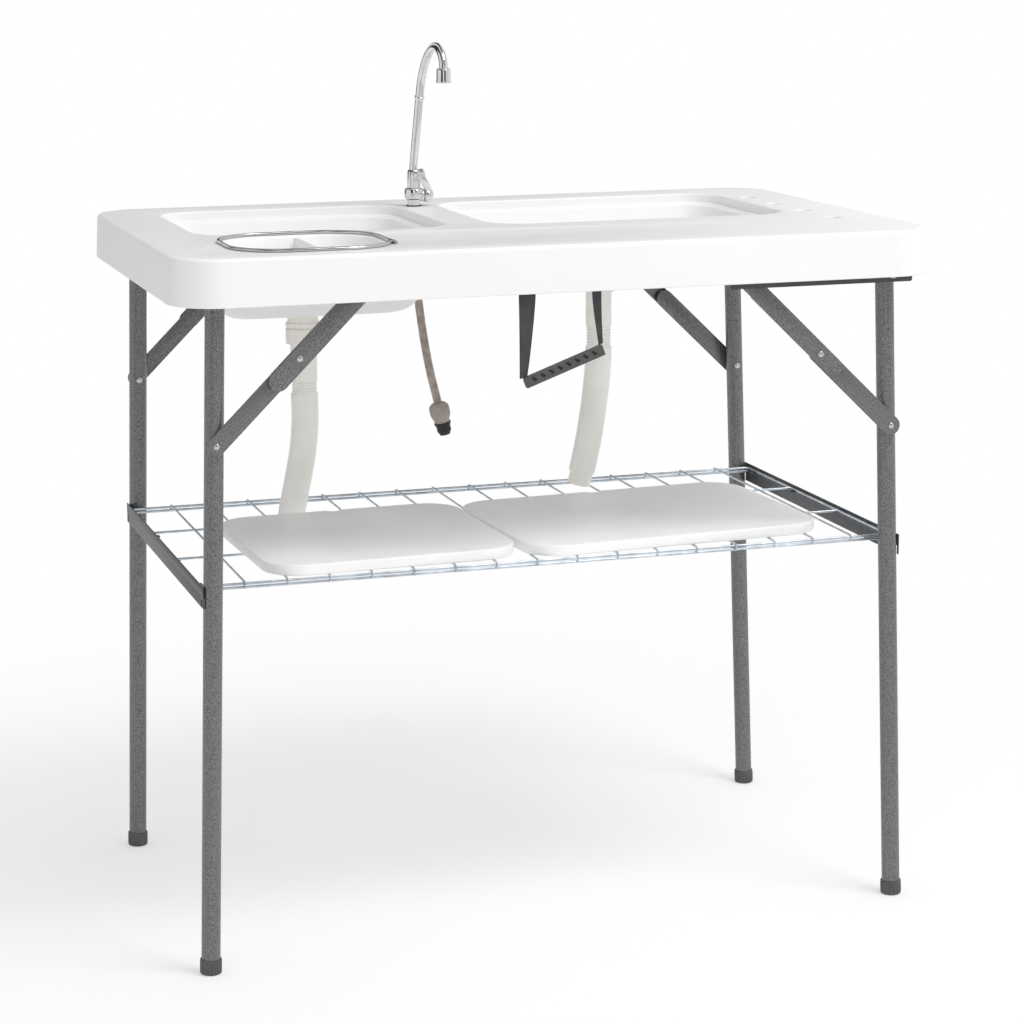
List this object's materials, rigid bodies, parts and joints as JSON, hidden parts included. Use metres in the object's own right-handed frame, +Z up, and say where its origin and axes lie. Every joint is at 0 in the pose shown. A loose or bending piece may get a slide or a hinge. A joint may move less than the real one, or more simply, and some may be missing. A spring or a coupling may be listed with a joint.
{
  "type": "fish cleaning table",
  "caption": "Folding moulded table with sunken basins, drains, a swivelling tap, braced tube legs that fold flat, a wire shelf, lift-off boards and a carrying handle.",
  "frame": {"origin": "on the floor under the centre of the table top", "axes": "+Z up, +X to the right end seen from the front, +Y to the back, where the tap is"},
  "size_m": [1.031, 0.664, 1.1758],
  "materials": {
    "moulded_white": "fine moulded grain, satin",
    "board_white": "fine moulded grain, satin",
    "foot_plastic": "ribbed, matt",
    "hammertone_grey": "hammered powder coat",
    "rail_grey": "powder coat, satin",
    "bright_steel": "bright, smooth",
    "zinc_wire": "zinc plated, bright",
    "ivory_plastic": "moulded, semi-gloss",
    "rubber_black": "matt",
    "hose_white": "moulded, semi-gloss",
    "braided_steel": "braided",
    "coupling_grey": "fluted, satin",
    "adapter_black": "matt",
    "chrome": "polished",
    "brass": "machined",
    "webbing_grey": "woven webbing",
    "grip_grey": "moulded, matt"
  },
  "bodies": {
    "top": {"hose_adapter": "adapter_black", "left_back_pivot_bolt": "bright_steel", "left_back_rail": "rail_grey", "left_drain_body": "ivory_plastic", "left_drain_collar": "ivory_plastic", "left_drain_gasket": "rubber_black", "left_drain_hose": "hose_white", "left_drain_locknut": "ivory_plastic", "left_front_pivot_bolt": "bright_steel", "left_front_rail": "rail_grey", "left_strainer": "bright_steel", "left_strap_anchor": "webbing_grey", "right_back_pivot_bolt": "bright_steel", "right_back_rail": "rail_grey", "right_drain_body": "ivory_plastic", "right_drain_collar": "ivory_plastic", "right_drain_gasket": "rubber_black", "right_drain_hose": "hose_white", "right_drain_locknut": "ivory_plastic", "right_front_pivot_bolt": "bright_steel", "right_front_rail": "rail_grey", "right_strainer": "bright_steel", "right_strap_anchor": "webbing_grey", "shank_nut": "brass", "shank_washer": "bright_steel", "spout_nut": "chrome", "supply_coupling": "coupling_grey", "supply_ferrule": "bright_steel", "supply_hose": "braided_steel", "table_top": "moulded_white", "tap_body": "chrome", "tap_washer": "rubber_black"},
    "bag_ring": {"bag_ring": "bright_steel"},
    "handle": {"handle_grip": "grip_grey", "left_strap": "webbing_grey", "right_strap": "webbing_grey"},
    "left_leg": {"left_back_foot_cap": "foot_plastic", "left_front_foot_cap": "foot_plastic", "left_leg_frame": "hammertone_grey"},
    "left_lower_links": {"left_back_lower_link": "hammertone_grey", "left_front_lower_link": "hammertone_grey"},
    "left_upper_links": {"left_back_upper_link": "hammertone_grey", "left_front_upper_link": "hammertone_grey"},
    "left_board": {"left_board": "board_white"},
    "shelf": {"left_end_plate": "rail_grey", "right_end_plate": "rail_grey", "shelf_grid": "zinc_wire"},
    "right_leg": {"right_back_foot_cap": "foot_plastic", "right_front_foot_cap": "foot_plastic", "right_leg_frame": "hammertone_grey"},
    "right_lower_links": {"right_back_lower_link": "hammertone_grey", "right_front_lower_link": "hammertone_grey"},
    "right_upper_links": {"right_back_upper_link": "hammertone_grey", "right_front_upper_link": "hammertone_grey"},
    "right_board": {"right_board": "board_white"},
    "spout": {"spout": "chrome", "spout_nozzle": "chrome"},
    "tap_lever": {"tap_lever": "chrome"}
  },
  "joints": [
    {"name": "left_leg_fold", "type": "hinge", "parent": "top", "child": "left_leg", "pos_m": [-0.46147, 0, 0.90135], "axis": [0, -1, 0], "range_deg": [0, 91.98]},
    {"name": "left_upper_link_fold", "type": "hinge", "parent": "top", "child": "left_upper_links", "pos_m": [-0.25193, 0, 0.908], "axis": [0, -1, 0], "range_deg": [0, 135.37]},
    {"name": "left_lower_link_fold", "type": "hinge", "parent": "left_leg", "child": "left_lower_links", "pos_m": [-0.46178, 0, 0.7001], "axis": [0, 1, 0], "range_deg": [0, 136.81]},
    {"name": "right_leg_fold", "type": "hinge", "parent": "top", "child": "right_leg", "pos_m": [0.45555, 0, 0.88], "axis": [0, 1, 0], "range_deg": [0, 91.98]},
    {"name": "right_upper_link_fold", "type": "hinge", "parent": "top", "child": "right_upper_links", "pos_m": [0.24753, 0, 0.88], "axis": [0, 1, 0], "range_deg": [0, 136.09]},
    {"name": "right_lower_link_fold", "type": "hinge", "parent": "right_leg", "child": "right_lower_links", "pos_m": [0.46275, 0, 0.6721], "axis": [0, -1, 0], "range_deg": [0, 136.09]},
    {"name": "shelf_lift", "type": "slide", "parent": "top", "child": "shelf", "axis": [0, 0, 1], "range_m": [0, 0.018]},
    {"name": "left_board_lift", "type": "slide", "parent": "shelf", "child": "left_board", "axis": [0, 0, 1], "range_m": [0, 0.05]},
    {"name": "right_board_lift", "type": "slide", "parent": "shelf", "child": "right_board", "axis": [0, 0, 1], "range_m": [0, 0.05]},
    {"name": "spout_swivel", "type": "hinge", "parent": "top", "child": "spout", "pos_m": [-0.0605, 0.22, 1], "axis": [0, 0, 1], "range_deg": [-120, 120]},
    {"name": "tap_lever_turn", "type": "hinge", "parent": "top", "child": "tap_lever", "pos_m": [-0.0418, 0.22, 0.9556], "axis": [1, 0, 0], "range_deg": [0, 85]},
    {"name": "bag_ring_lift", "type": "slide", "parent": "top", "child": "bag_ring", "axis": [0, 0, 1], "range_m": [0, 0.08]},
    {"name": "handle_swing", "type": "hinge", "parent": "top", "child": "handle", "pos_m": [0, -0.3222, 0.875], "axis": [-1, 0, 0], "range_deg": [-20, 85]}
  ],
  "couplings": [
    {"joint": "left_upper_link_fold", "follows": "left_leg_fold", "ratio": 1.4706},
    {"joint": "left_lower_link_fold", "follows": "left_leg_fold", "ratio": 1.4863},
    {"joint": "right_upper_link_fold", "follows": "right_leg_fold", "ratio": 1.4785},
    {"joint": "right_lower_link_fold", "follows": "right_leg_fold", "ratio": 1.4785}
  ]
}
